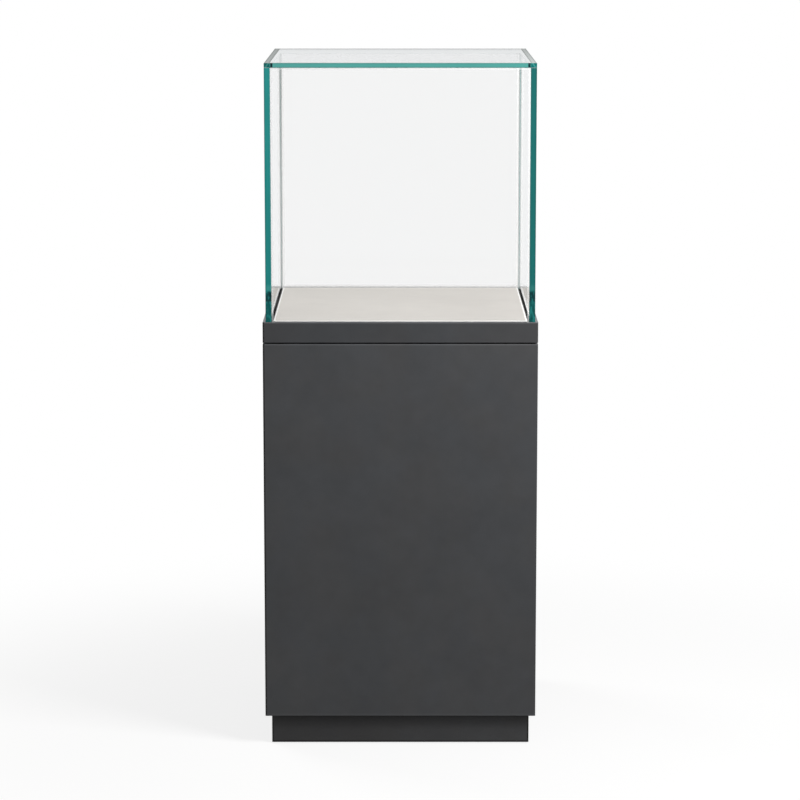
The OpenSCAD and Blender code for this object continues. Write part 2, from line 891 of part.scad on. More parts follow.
module door_bushes() {
    color(black) bush_places() difference() {
        cylinder(h = bush_l, r = bush_r);
        translate([0, 0, -past]) cylinder(h = bush_l + 2 * past, r = pivot_r + run_gap);
    }
}

module door_pivots() {
    bush_places() translate([0, 0, -front_gap - pivot_in_rail])
        cylinder(h = pivot_in_rail + front_gap + pivot_in_bush, r = pivot_r);
}
module door_pivot_pins() color(steel) door_pivots();

// ---- Nodes ----

base_front();
base_right();
base_rear();
base_left();
foot_blocks();
foot_pad_front_left();
foot_pad_front_right();
foot_pad_rear_right();
foot_pad_rear_left();
foot_stud_front_left();
foot_stud_front_right();
foot_stud_rear_right();
foot_stud_rear_left();
front_panel();
right_panel();
rear_panel();
left_panel();
bottom_panel();
top_panel();
drawer_shelf();
corner_battens();
drawer_cheeks();
door_stops();
panel_screws();
collar_bolts();
collar_nuts();
collar_front();
collar_right();
collar_rear();
collar_left();
collar_cleats();
cleat_screws();
collar_seal();
hood_gasket();
lock_sleeve_right();
lock_sleeve_left();
lock_shaft_right();
lock_shaft_left();
deck_board();
deck_facing();
glass_front();
glass_right();
glass_rear();
glass_left();
glass_top();
hood_frame();
striker_right();
striker_left();
drawer_front();
drawer_tray();
drawer_runners();
drawer_slides();
drawer_lock_body();
drawer_lock_cam();
access_door();
door_pivot_pins();
door_bushes();
door_lock_body();
door_lock_cam();
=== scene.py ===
import math

import bpy
from bpy.props import FloatProperty, FloatVectorProperty, PointerProperty
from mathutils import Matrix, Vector


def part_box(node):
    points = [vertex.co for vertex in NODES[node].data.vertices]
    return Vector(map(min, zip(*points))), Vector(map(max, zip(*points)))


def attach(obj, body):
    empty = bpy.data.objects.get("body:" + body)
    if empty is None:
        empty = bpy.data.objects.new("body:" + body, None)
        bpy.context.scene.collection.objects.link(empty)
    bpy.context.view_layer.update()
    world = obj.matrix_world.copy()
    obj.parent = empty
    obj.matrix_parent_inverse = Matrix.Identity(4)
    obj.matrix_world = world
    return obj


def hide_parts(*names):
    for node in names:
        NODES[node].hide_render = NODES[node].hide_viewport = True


bl_info = {
    "name": "Pedestal display case",
    "version": (1, 0, 0),
    "blender": (4, 5, 0),
    "location": "View3D > Sidebar > Display case",
    "description": "Finishes a pedestal display case: lacquer, glass, deck, boards and fittings",
    "category": "Add Mesh",
}

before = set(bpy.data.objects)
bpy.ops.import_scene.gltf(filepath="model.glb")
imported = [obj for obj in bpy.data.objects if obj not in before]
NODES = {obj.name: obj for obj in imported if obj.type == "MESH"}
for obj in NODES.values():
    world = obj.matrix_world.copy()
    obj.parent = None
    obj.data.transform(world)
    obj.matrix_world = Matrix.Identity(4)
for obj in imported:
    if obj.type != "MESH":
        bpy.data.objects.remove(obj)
AXES = {"x": 0, "y": 1, "z": 2}
CORNERS = ("front_left", "front_right", "rear_right", "rear_left")

# Heights and distances from the middle that the finishes go by, in metres
BASE_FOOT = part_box("base_front")[0][2]
BODY_FOOT, BODY_TOP = (corner[2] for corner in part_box("front_panel"))
BOARD_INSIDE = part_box("right_panel")[0][0]
COLLAR_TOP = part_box("collar_front")[1][2]

# Radius and height of each ring of the turned parts of a foot, in metres, in the order in which they are
# drawn: up the outside, over the top and, on the pad, down into its socket
PAD_PROFILE = (
    (0.0228, 0.0),
    (0.0243, 0.0006),
    (0.0250, 0.0020),
    (0.0250, 0.0056),
    (0.0246, 0.0068),
    (0.0236, 0.0077),
    (0.0222, 0.0080),
    (0.0108, 0.0080),
    (0.0096, 0.0083),
    (0.0090, 0.0090),
    (0.0090, 0.0113),
    (0.0087, 0.0118),
    (0.0082, 0.0120),
    (0.0058, 0.0120),
    (0.0053, 0.0116),
    (0.0053, 0.0040),
)
# The stud's core, with the socket in its upper end
STUD_PROFILE = (
    (0.0046, 0.0040),
    (0.0050, 0.0045),
    (0.0050, 0.0222),
    (0.0042, 0.0230),
    (0.0042, 0.0606),
    (0.0034, 0.0620),
    (0.0026, 0.0620),
    (0.0026, 0.0562),
)
HEXAGON_PROFILE = ((0.0098, 0.0130), (0.0098, 0.0210))
THREAD_FOOT, THREAD_TURNS = 0.0225, 23

# Angle up to which two faces are shaded as one, and past which their edge is rounded
SMOOTH_BELOW = math.radians(35)
ROUND_ABOVE = math.radians(40)
# Distance at which two vertices of a CAD mesh are one, in metres
MERGED = 0.00001
# Room left between the hood's steel angle and the glass that stands in it, in metres
CLEAR_OF_GLASS = 0.0001

WHITE = (1, 1, 1)
# Share by which the lacquer's red and blue drift apart from place to place
HUE_DRIFT = 0.014
# Share of the light that a face of the coated glass mirrors when it is seen square on
COATED = 0.01
# What a look through a face of the walls and of the top leaves of the light, and the tint of what they mirror
WALL_CLEAR, WALL_MIRROR = (0.974, 0.975, 0.975), (0.985, 0.988, 0.992)
TOP_CLEAR, TOP_MIRROR = (0.974, 0.976, 0.976), (0.785, 0.794, 0.802)
# Painted light and shade: how light the walls' upright edges are painted at the foot and at the top
WALL_PAINTED_LIGHT = {"front": (0.85, 1.0), "rear": (0.85, 1.0), "right": (0.64, 0.49), "left": (1.25, 1.25)}

CAMERA_X = -0.0008
FLOOR_RADIUS = 9.0
RAYS_THAT_SEE = ("Is Camera Ray", "Is Glossy Ray", "Is Transmission Ray")


def linear(red, green, blue):
    """A colour as a screen shows it, from 0 to 255, as the light values that Blender uses."""
    shown = [c / 255 for c in (red, green, blue)]
    return tuple(c / 12.92 if c <= 0.04045 else ((c + 0.055) / 1.055) ** 2.4 for c in shown)


def scaled(tint, amount):
    """A colour made darker or lighter all over."""
    return tuple(part * amount for part in tint)


def centre_of(node):
    """The middle of a CAD node's box."""
    return (Vector(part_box(node)[0]) + Vector(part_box(node)[1])) / 2


# ---- Settings ----


def colour(name, description, shown):
    return FloatVectorProperty(
        name=name,
        description=description,
        subtype="COLOR",
        size=3,
        min=0,
        max=1,
        default=linear(*shown),
    )


def length(name, description, default):
    return FloatProperty(name=name, description=description, unit="LENGTH", default=default, min=0)


def power(name, description, default):
    return FloatProperty(name=name, description=description, subtype="POWER", default=default, min=0)


class CaseFinishes(bpy.types.PropertyGroup):
    """Colours of the display case's finishes"""

    lacquer: colour("Lacquer", "Graphite lacquer of the pedestal", (66, 67, 69))
    # The body's lacquer made darker by painted shade, for the recessed base
    base_lacquer: colour("Base lacquer", "Lacquer of the recessed base", (59, 59, 60))
    powder_coat: colour("Powder coat", "Coating of the aluminium collar", (60, 61, 63))
    sealer: colour("Sealer", "Sealer on the inside of the lacquered boards", (92, 90, 88))
    deck: colour("Deck", "Sheet on top of the display deck", (215, 211, 206))
    # The pale cut bevel, widened by a painted highlight onto the top
    deck_bevel_and_highlight: colour("Deck bevel", "Cut edge of the deck's sheet", (250, 249, 247))
    deck_edge: colour("Deck edge", "Sealed edges of the deck", (24, 26, 26))
    edge_light: colour("Glass edge, light", "Edges of the glass top", (84, 166, 159))
    edge_middle: colour("Glass edge, middle", "Upright edges of the glass walls", (39, 137, 134))
    edge_deep: colour("Glass edge, deep", "Borders and lower ends of the glass edges", (5, 97, 95))
    # Colour of the painted dark spots in the glass edges
    edge_dark: colour("Glass edge, dark", "Darkest places in a glass edge", (0, 44, 48))
    joint_grey: colour("Glass joint", "Joints of the glass seen from above", (178, 183, 182))
    ply: colour("Plywood", "Face of the inner boards", (205, 178, 138))
    pine: colour("Batten wood", "Wood of the battens, stops and blocks", (214, 186, 140))


class CaseSizes(bpy.types.PropertyGroup):
    """Sizes of what is added to the frame's solids"""

    stud_radius: length("Stud radius", "Radius of the levelling studs over their thread", 0.005)
    thread_pitch: length("Thread pitch", "Rise of the studs' thread in one turn", 0.0015)
    metal_round: length("Metal rounding", "Rounding of the edges of metal fittings", 0.0003)
    mottle: FloatProperty(
        name="Mottle",
        description="Unevenness of the lacquer's shade",
        subtype="FACTOR",
        default=0.14,
        min=0,
        max=0.5,
    )


class Studio(bpy.types.PropertyGroup):
    """Camera and light"""

    camera_y: length("Camera distance", "Distance of the camera in front of the case's centre", 6.785)
    camera_z: length("Camera height", "Height of the camera above the floor", 1.885)
    pitch: FloatProperty(
        name="Pitch",
        description="Angle by which the camera looks down",
        subtype="ANGLE",
        default=math.radians(9.68),
    )
    lens: FloatProperty(
        name="Lens", description="Focal length in millimetres", unit="CAMERA", default=135.54, min=10
    )
    room_light: FloatProperty(
        name="Room light", description="Strength of the light from all round", default=0.2, min=0
    )
    key_light: power("Main lamp", "Power of the main lamp", 80)
    rear_light: power("Rear lamp", "Power of the rear lamp", 75)


# ---- Node trees ----


class Sum:
    """A number, colour or vector in a node tree that takes part in sums."""

    def __init__(self, nodes, socket):
        self.nodes = nodes
        self.socket = socket

    def _with(self, operation, *values):
        return self.nodes.add("Math", {"operation": operation}, dict(enumerate(values)))

    def __add__(self, other):
        return self._with("ADD", self, other)

    __radd__ = __add__

    def __sub__(self, other):
        return self._with("SUBTRACT", self, other)

    def __rsub__(self, other):
        return self._with("SUBTRACT", other, self)

    def __mul__(self, other):
        return self._with("MULTIPLY", self, other)

    __rmul__ = __mul__

    def __truediv__(self, other):
        return self._with("DIVIDE", self, other)

    def __rtruediv__(self, other):
        return self._with("DIVIDE", other, self)

    def __pow__(self, other):
        return self._with("POWER", self, other)

    def __rpow__(self, other):
        return self._with("POWER", other, self)

    def __gt__(self, other):
        return self._with("GREATER_THAN", self, other)

    def __neg__(self):
        return self * -1

    def __abs__(self):
        return self._with("ABSOLUTE", self)

    def most(self, other):
        return self._with("MAXIMUM", self, other)

    def least(self, other):
        return self._with("MINIMUM", self, other)

    def part(self):
        """What is left over above the last whole number."""
        return self._with("FRACT", self)

    def sway(self):
        """Rises from 0 to 1 and falls back, over and over."""
        return self._with("PINGPONG", self, 1.0)

    def ramp(self, low, high):
        """0 at low and 1 at high, with a smooth change between. low may be the greater of the two."""
        settings = {"interpolation_type": "SMOOTHSTEP", "clamp": True}
        return self.nodes.add("MapRange", settings, {0: self, 1: low, 2: high, 3: 0.0, 4: 1.0})

    def band(self, low, high, soft):
        """1 between low and high and 0 elsewhere."""
        return self.ramp(low - soft, low + soft) * (1 - self.ramp(high - soft, high + soft))


class Nodes:
    """The node tree of a material or a world, which is built up node by node."""

    def __init__(self, owner, kind):
        owner.use_nodes = True
        self.owner = owner
        self.kind = kind
        self.tree = owner.node_tree
        self.tree.nodes.clear()

    def add(self, kind, settings=None, feeds=None, out=0):
        """Adds a node and returns one of its outputs, if it has any."""
        node = self.tree.nodes.new("ShaderNode" + kind)
        for key, value in (settings or {}).items():
            setattr(node, key, value)
        for key, value in (feeds or {}).items():
            socket = node.inputs[key]
            if isinstance(value, Sum):
                self.tree.links.new(value.socket, socket)
            elif socket.type == "RGBA":
                socket.default_value = (*value, 1)
            else:
                socket.default_value = value
        return Sum(self, node.outputs[out]) if node.outputs else None

    def blend(self, share, first, second):
        """A blend of two shaders."""
        return self.add("MixShader", feeds={0: share, 1: first, 2: second})

    def seen(self):
        """1 for a ray by which the camera sees something, also in glass, and 0 for one that lights it."""
        camera, glossy, through = (self.add("LightPath", out=ray) for ray in RAYS_THAT_SEE)
        return camera.most(glossy).most(through)

    def done(self, shader):
        self.add("Output" + self.kind, feeds={"Surface": shader})
        return self.owner


class Finish(Nodes):
    """A material whose patterns go by the place on the object."""

    def __init__(self, name):
        super().__init__(bpy.data.materials.new(name), "Material")
        self.place = self.add("TexCoord", out="Object")
        parts = (self.add("SeparateXYZ", feeds={0: self.place}, out=axis) for axis in AXES.values())
        self.x, self.y, self.z = parts

    def noise(self, scale, detail=3, place=None, rough=0.5, warp=0):
        feeds = {"Scale": scale, "Detail": detail, "Roughness": rough, "Distortion": warp}
        return self.add("TexNoise", feeds={"Vector": place or self.place, **feeds})

    def stretched(self, x, y, z, turn=(0, 0, 0)):
        """Object coordinates drawn out by different amounts."""
        return self.add("Mapping", feeds={"Vector": self.place, "Rotation": turn, "Scale": (x, y, z)})

    def mix(self, share, first, second, how="MIX"):
        """A blend of two colours."""
        settings = {"data_type": "RGBA", "blend_type": how}
        return self.add("Mix", settings, {0: share, 6: first, 7: second}, out=2)

    def shade(self, tint, amount):
        """A colour made darker or lighter by a number round 1 that changes over the surface."""
        grey = self.add("CombineColor", feeds={0: amount, 1: amount, 2: amount})
        return self.mix(1.0, tint, grey, "MULTIPLY")

    def bump(self, height, distance):
        return self.add("Bump", feeds={"Height": height, "Distance": distance}, out="Normal")

    def surface(self, **feeds):
        spaced = {key.replace("_", " "): value for key, value in feeds.items()}
        return self.add("BsdfPrincipled", feeds=spaced)

    def matt(self, tint, rough=0.5):
        """A surface without gloss."""
        return self.surface(Base_Color=tint, Roughness=rough, Specular_IOR_Level=0.0)

    def through(self, tint):
        """A look through the surface at what is behind it."""
        return self.add("BsdfTransparent", feeds={"Color": tint})


# ---- Finishes ----


def lacquer(name, tint, grain=620.0, peel=0.000018, gloss=0.44, shine=0.22, sealer=None):
    """Satin lacquer or powder coat with a soft mottle and orange peel. It carries painted light and shade:
    painted shade on the corners on the left, at the body's foot and along the base's foot, a painted shadow
    on the base under the body, and painted light on the upper edges, higher up and towards the right of the
    base. With a sealer, a board has it on its inner face."""
    f = Finish(name)
    unevenness = bpy.context.scene.case_sizes.mottle * 4
    cloud = f.noise(7.0, 4) * 0.6 + f.noise(31.0, 3) * 0.4
    drift = f.noise(8.0, 3, f.stretched(1.2, 1.2, 1.0, (0.4, 0.9, 0.2))).ramp(0.35, 0.65)
    red, green, blue = tint
    warm, cool = ((red * (1 + turn), green, blue * (1 - turn)) for turn in (HUE_DRIFT, -HUE_DRIFT))
    mottled = f.shade(f.mix(drift, warm, cool), 1 + (cloud - 0.5) * unevenness)

    # Painted shade on the upright corners: on the left ones alone, but on the base on all four
    reach = abs(f.x).most(abs(f.y))
    from_corner = reach - abs(f.x).least(abs(f.y))
    on_outside = reach.ramp(0.28, 0.285)
    up = f.z - BODY_FOOT
    on_base = up.ramp(0.0005, -0.0005)
    corner = from_corner.ramp(0.0046, 0.0024) * on_outside * f.x.ramp(0.1, -0.1).most(on_base)

    # Painted light on the upper edges, just above the body's foot, higher up and towards the right of the
    # base; painted shade at the body's foot, a painted shadow on the base under the overhanging body, and
    # painted shade along the base's foot
    painted_edge_light = f.z.band(BODY_TOP - 0.0025, BODY_TOP + 0.0010, 0.0005) * 0.5
    painted_edge_light = painted_edge_light + f.z.ramp(COLLAR_TOP - 0.0038, COLLAR_TOP - 0.0008) * 1.1
    painted_light_and_shade_at_foot = up.band(0.002, 0.0052, 0.0006) * 0.16 - up.band(-0.0005, 0.002, 0.0006) * 0.1
    painted_light_higher_up = f.z.ramp(0.25, 0.9) * 0.08
    painted_shading_to_the_right = (f.x.ramp(-0.3, 0.3) - 0.5) * 0.3
    painted_overhang_shadow = up.ramp(-0.036, -0.021) * 0.1 + up.ramp(-0.020, -0.004) * 0.5
    painted_overhang_shadow = painted_overhang_shadow + up.ramp(-0.0064, -0.0044) * 0.42
    painted_shade_at_base_foot = f.z.ramp(BASE_FOOT + 0.0048, BASE_FOOT + 0.0040) * 0.7
    light = 1 + painted_edge_light + painted_light_and_shade_at_foot + painted_light_higher_up + (painted_shading_to_the_right - painted_overhang_shadow) * on_base - painted_shade_at_base_foot
    painted = f.shade(mottled, (1 - corner * 0.92) * light)

    rough = gloss + (f.noise(90.0, 2) - 0.5) * 0.12
    skin = f.noise(grain, 2) * 0.7 + f.noise(grain * 0.28, 2) * 0.9
    if sealer is not None:
        past_inside = reach.ramp(BOARD_INSIDE + 0.0004, BOARD_INSIDE + 0.0008)
        fibres = f.noise(1400.0, 2, f.stretched(1, 1, 0.4))
        painted = f.mix(past_inside, f.shade(sealer, 0.9 + fibres * 0.2), painted)
        rough = rough * past_inside + (1 - past_inside) * 0.7
    return f.done(
        f.surface(
            Base_Color=painted,
            Roughness=rough,
            Specular_IOR_Level=shine,
            Normal=f.bump(skin, peel),
        )
    )


def deck_sheet(box, tint, core, dark):
    """Matt sheet of the deck, with a soft mottle, painted shade towards the front right, a pale cut bevel
    widened by a painted highlight, and a dark sealed edge.
    """
    f = Finish("deck_sheet")
    half, _, top = box[1]
    cloud = f.noise(5.0, 4) * 0.5 + f.noise(26.0, 4) * 0.5
    speck = f.noise(420.0, 2)
    # Painted shade, darker towards the front right
    front_right = f.x.ramp(-0.15, half) * (0.25 + f.y.ramp(half, -half) * 0.75)
    sheet = f.shade(tint, 1 + (cloud - 0.5) * 0.2 + (speck - 0.5) * 0.05 - front_right * 0.17)
    # The pale cut bevel, with a painted highlight that reaches past it onto the top
    bevel_and_painted_highlight = abs(f.x).most(abs(f.y)).ramp(half - 0.0042, half - 0.0034)
    sides = f.z.ramp(top - 0.0011, top - 0.0015)
    return f.done(
        f.surface(
            Base_Color=f.mix(sides, f.mix(bevel_and_painted_highlight, sheet, core), dark),
            Roughness=0.62 + (speck - 0.5) * 0.15 - bevel_and_painted_highlight * 0.2,
            Specular_IOR_Level=0.35,
            Normal=f.bump(speck, 0.00003),
        )
    )


def plywood(name, tint, across, sealed=None):
    """Birch plywood: long grain on the faces, and plies or a sealed colour on the cut edges. across is the
    axis of the board's thickness."""
    f = Finish(name)
    grain_run, pore_run = ((14, 1.2, 14), (1, 0.05, 1)) if across == "x" else ((1.2, 14, 14), (0.05, 1, 1))
    grain = f.noise(16.0, 6, f.stretched(*grain_run), 0.62, 0.6)
    pores = f.noise(900.0, 2, f.stretched(*pore_run))
    face = f.shade(tint, 0.86 + grain * 0.24 + (pores - 0.5) * 0.06)
    facing = f.add("SeparateXYZ", feeds={0: f.add("TexCoord", out="Normal")}, out=AXES[across])
    on_edge = 1 - abs(facing).ramp(0.4, 0.6)
    if sealed is None:
        plies = ({"x": f.x, "z": f.z}[across] * 710).part()
        cut = f.shade(tint, 0.62 + plies.ramp(0.3, 0.5) * 0.3 + (grain - 0.5) * 0.1)
    else:
        cut = f.shade(sealed, 0.8 + grain * 0.4)
    return f.done(
        f.surface(
            Base_Color=f.mix(on_edge, face, cut),
            Roughness=0.6 + (grain - 0.5) * 0.15,
            Specular_IOR_Level=0.3,
            Normal=f.bump(grain, 0.00008),
        )
    )


def batten_wood(name, tint):
    """Planed softwood with growth rings along its length."""
    f = Finish(name)
    rings = f.noise(9.0, 5, f.stretched(9, 9, 0.35), 0.6, 1.1)
    fibres = f.noise(700.0, 2, f.stretched(1, 1, 0.03))
    return f.done(
        f.surface(
            Base_Color=f.shade(tint, 0.78 + (rings * 5).sway() * 0.26 + (fibres - 0.5) * 0.1),
            Roughness=0.62 + (fibres - 0.5) * 0.2,
            Specular_IOR_Level=0.3,
            Normal=f.bump(fibres, 0.00006),
        )
    )


def metal(name, tint, rough, streak=(1, 1, 1), grain=240.0, cloudy=0.12, bare=1.0, slot=None):
    """Bare or plated metal with a drawn or clouded surface. slot is a key slot darkened with painted shade:
    the centre of the face that it is in, that face's axis, and its radius."""
    f = Finish(name)
    lines = f.noise(grain, 4, f.stretched(*streak))
    cloud = f.noise(18.0, 4)
    painted = f.shade(tint, 1 + (lines - 0.5) * 0.16 + (cloud - 0.5) * cloudy)
    if slot is not None:
        centre, axis, radius = slot
        places = [place - at for place, at in zip((f.x, f.y, f.z), centre)]
        depth = -places.pop(axis) * (1 if centre[axis] > 0 else -1)
        away = (places[0] ** 2.0 + places[1] ** 2.0) ** 0.5
        # Painted shade inside the key slot
        inside = away.ramp(radius, radius - 0.0002) * depth.ramp(0.0001, 0.0004)
        painted = f.mix(inside, painted, linear(16, 16, 17))
    return f.done(
        f.surface(
            Base_Color=painted,
            Metallic=bare,
            Roughness=rough + (lines - 0.5) * 0.18 + (cloud - 0.5) * 0.1,
            Normal=f.bump(lines, 0.000012),
        )
    )


def moulded(name, tint, rough, shine=0.4):
    """Moulded nylon, rubber or matt paint with a fine texture."""
    f = Finish(name)
    skin = f.noise(500.0, 3)
    cloud = f.noise(24.0, 3)
    return f.done(
        f.surface(
            Base_Color=f.shade(tint, 1 + (cloud - 0.5) * 0.3),
            Roughness=rough + (skin - 0.5) * 0.2,
            Specular_IOR_Level=shine,
            Normal=f.bump(skin, 0.00004),
        )
    )


def clear_glass(f, tint, mirror):
    """A face of coated low-reflection glass: what is behind it, dimmed a little, under what it mirrors."""
    facing = f.add("LayerWeight", feeds={"Blend": 0.5}, out="Facing")
    gloss = f.add("BsdfAnisotropic", feeds={"Color": mirror, "Roughness": 0.0})
    return f.blend(COATED + (facing**5.0) * (1 - COATED), f.through(tint), gloss)


def polished(f, tint):
    """A polished edge of thick glass."""
    return f.surface(Base_Color=tint, Roughness=0.2, Specular_IOR_Level=0.12)


def off_the_faces(depth, half):
    """1 on a pane's edges and 0 on its two faces. depth is the distance from the middle of its thickness."""
    return 1 - abs(depth).ramp(half - 0.00012, half - 0.00004)


def wall_glass(name, across, box, shades, edge_painted_light):
    """A laminated glass wall: clear faces and deep polished edges. across is the axis of its thickness."""
    f = Finish(name)
    low, high = box
    axis = AXES[across]
    at_rear = across == "y" and low[axis] > 0
    middle = (low[axis] + high[axis]) / 2
    half = (high[axis] - low[axis]) / 2
    end = high[1 - axis] - (2 * half if across == "x" else 0)
    depth = (f.x, f.y)[axis] - middle
    outward = depth * (1 if middle > 0 else -1) / half
    along = abs((f.y, f.x)[axis])
    up = f.z - COLLAR_TOP

    # The edges, from the outside in: a mottled teal, which is deeper towards the outer face, with a paler
    # line where the sheets are bonded and a painted highlight along the inner face. A painted lighter band
    # crosses them low down. Their lower ends carry a painted reflection of the collar in streaks, under
    # painted dark spots.
    quick = f.noise(60.0, 3, f.stretched(1, 1, 0.2))
    rise = up.ramp(0.03, 0.55)
    body = f.mix(0.6 + rise * 0.25, shades.edge_deep, shades.edge_middle)
    body = f.mix(up.band(0.066, 0.080, 0.005) * 0.28, body, shades.edge_light)
    body = f.mix(outward.ramp(0.45, 0.95) * 0.55, body, shades.edge_deep)
    bond_and_painted_highlight = outward.band(-0.12, 0.12, 0.1) + outward.ramp(-0.7, -0.95) * 0.8
    # Painted light and shade: each wall's edges are made lighter or darker, from the foot to the top
    painted_light_at_foot, painted_light_at_top = edge_painted_light
    lit = painted_light_at_foot + rise * (painted_light_at_top - painted_light_at_foot)
    body = f.shade(body, lit * (0.94 + bond_and_painted_highlight * 0.1 + (quick - 0.5) * 0.25))
    streak = f.noise(210.0, 2, f.stretched(0.9, 0.9, 0.3, (0.6, 0.4, 0))).ramp(0.42, 0.62)
    painted_collar_reflection = f.mix(streak * 0.9, scaled(shades.edge_deep, 0.75), scaled(shades.edge_middle, 0.95))
    body = f.mix(up.ramp(0.070, 0.064), body, f.shade(painted_collar_reflection, 0.3 + lit * 0.7))
    painted_dark_spots = up.band(0.044, 0.066, 0.004) * f.noise(190.0, 2, f.stretched(1, 1, 0.5)).ramp(0.32, 0.5)
    body = f.mix(painted_dark_spots * 0.9, body, shades.edge_dark)

    # An edge shows only from outside, and not where the glass top lies on it
    inside = f.add("NewGeometry", out="Backfacing")
    top = f.z.ramp(high[2] - 0.0002, high[2] - 0.0001)
    edge = f.blend(inside.most(top), polished(f, body), f.through((0.95, 0.965, 0.963)))

    # The faces, with a painted glint as pale rims where the walls meet each other and the top, and along the
    # rear wall's foot
    clear = clear_glass(f, WALL_CLEAR, WALL_MIRROR)
    painted_glint_mask = along.band(end - (0.0080 if at_rear else 0.0044), end - 0.0006, 0.0006)
    painted_glint_mask = painted_glint_mask.most(f.z.ramp(high[2] - 0.0046, high[2] - 0.0036))
    if at_rear:
        painted_glint_mask = painted_glint_mask.most(up.band(0.0, 0.005, 0.0004))
    painted_glint_white = f.matt((0.92, 0.92, 0.92), 0.4)
    clear = f.blend(painted_glint_mask * 0.8, clear, f.blend(0.3, f.through(WHITE), painted_glint_white))
    if at_rear:
        line = along.ramp(end - 0.0034, end - 0.0026)
        clear = f.blend(line * (0.45 + rise * 0.3), clear, f.matt(shades.joint_grey))
        # A stronger painted glint along the rear wall's foot
        clear = f.blend(up.band(-0.0012, 0.0026, 0.0006) * 0.4, clear, painted_glint_white)
    return f.done(f.blend(off_the_faces(depth, half), clear, edge))


def top_glass(box, shades, wall):
    """The glass top: clear faces, the grey joints over the walls, and polished edges with painted shade, a
    painted glint and painted dark spots at the corners.
    """
    f = Finish("top_glass")
    low, high = box
    middle = (low[2] + high[2]) / 2
    half = (high[2] - low[2]) / 2
    out = high[0]
    over_wall = out - wall
    height = (f.z - middle) / half
    reach = abs(f.x).most(abs(f.y))
    along = abs(f.x).least(abs(f.y))

    # The edges, with painted shade that makes them a tone darker on the right, a painted slanting glint and a
    # painted dark spot at each corner
    slow = f.noise(9.0, 3)
    border = abs(height).ramp(0.3, 0.95)
    painted_shading_to_the_right = f.x.ramp(-0.3, 0.3) * 0.28
    body = f.shade(shades.edge_light, (0.9 + slow * 0.2 - border * 0.2) * (1 - painted_shading_to_the_right))
    body = f.mix(along.ramp(over_wall - 0.0005, over_wall + 0.0003), body, shades.edge_deep)
    painted_slant_glint = abs(along - (out - wall / 2) + height * 0.0035).ramp(0.0024, 0.0006)
    body = f.mix(painted_slant_glint * along.ramp(over_wall, over_wall + 0.001) * 0.5, body, shades.edge_light)
    body = f.mix(along.band(over_wall - 0.0062, over_wall - 0.0012, 0.0007), body, shades.edge_dark)
    inside = f.add("NewGeometry", out="Backfacing")
    seen_within = height.ramp(0.2, 0.35) * 0.8
    far_edge = f.blend(seen_within, f.through((0.8, 0.84, 0.83)), f.matt(scaled(shades.joint_grey, 0.8)))
    edge = f.blend(inside, polished(f, body), far_edge)

    # The faces. The upper one alone mirrors, and shows the joints over the walls.
    clear = f.blend(f.z > middle, f.through(TOP_CLEAR), clear_glass(f, TOP_CLEAR, TOP_MIRROR))
    joint = reach.ramp(over_wall - 0.0002, over_wall + 0.0004) * (f.z > middle)
    core = reach.band(over_wall + 0.0032, out - 0.0032, 0.001)
    seam = f.shade(shades.joint_grey, 0.72 + core * 0.28 + (f.noise(30.0, 2) - 0.5) * 0.06)
    clear = f.blend(joint * 0.92, clear, f.matt(seam))
    return f.done(f.blend(off_the_faces(f.z - middle, half), clear, edge))


def show(finish, *names):
    """Gives CAD nodes a finish."""
    for name in names:
        node = NODES[name]
        node.data.materials.clear()
        node.data.materials.append(finish)


# ---- Modelling ----


def only(*pieces):
    """Selects these pieces alone and makes the first one active."""
    bpy.ops.object.select_all(action="DESELECT")
    for piece in pieces:
        piece.select_set(True)
    bpy.context.view_layer.objects.active = pieces[0]


def edit(step, **settings):
    """Runs one step in edit mode on the vertices that are selected."""
    bpy.ops.object.mode_set(mode="EDIT")
    step(**settings)
    bpy.ops.object.mode_set(mode="OBJECT")


def reshape(*steps):
    """Runs the steps in edit mode on everything in the active piece."""
    bpy.ops.object.mode_set(mode="EDIT")
    bpy.ops.mesh.select_all(action="SELECT")
    for step, settings in steps:
        step(**settings)
    bpy.ops.object.mode_set(mode="OBJECT")


def twin(data, name):
    """A new piece with its own copy of a mesh."""
    piece = bpy.data.objects.new(name, data.copy())
    bpy.context.scene.collection.objects.link(piece)
    only(piece)
    return piece


def dress(piece, body, finish):
    """Gives a piece its finish and the body that it rides on."""
    piece.data.materials.clear()
    piece.data.materials.append(finish)
    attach(piece, body)


def round_edges(piece, width, segments=2):
    only(piece)
    bpy.ops.object.modifier_add(type="BEVEL")
    rounding = piece.modifiers[-1]
    rounding.width, rounding.segments = width, segments
    rounding.limit_method, rounding.angle_limit = "ANGLE", ROUND_ABOVE
    bpy.ops.object.modifier_apply(modifier=rounding.name)
    bpy.ops.object.shade_smooth_by_angle(angle=SMOOTH_BELOW)


def rounded_copy(node, name, body, finish, width, segments=2):
    """A copy of a CAD node with rounded edges, which stands for the node."""
    piece = twin(NODES[node].data, name)
    reshape(
        (bpy.ops.mesh.remove_doubles, {"threshold": MERGED}),
        (bpy.ops.mesh.dissolve_limited, {"angle_limit": math.radians(1)}),
    )
    round_edges(piece, width, segments)
    dress(piece, body, finish)
    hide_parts(node)
    return piece


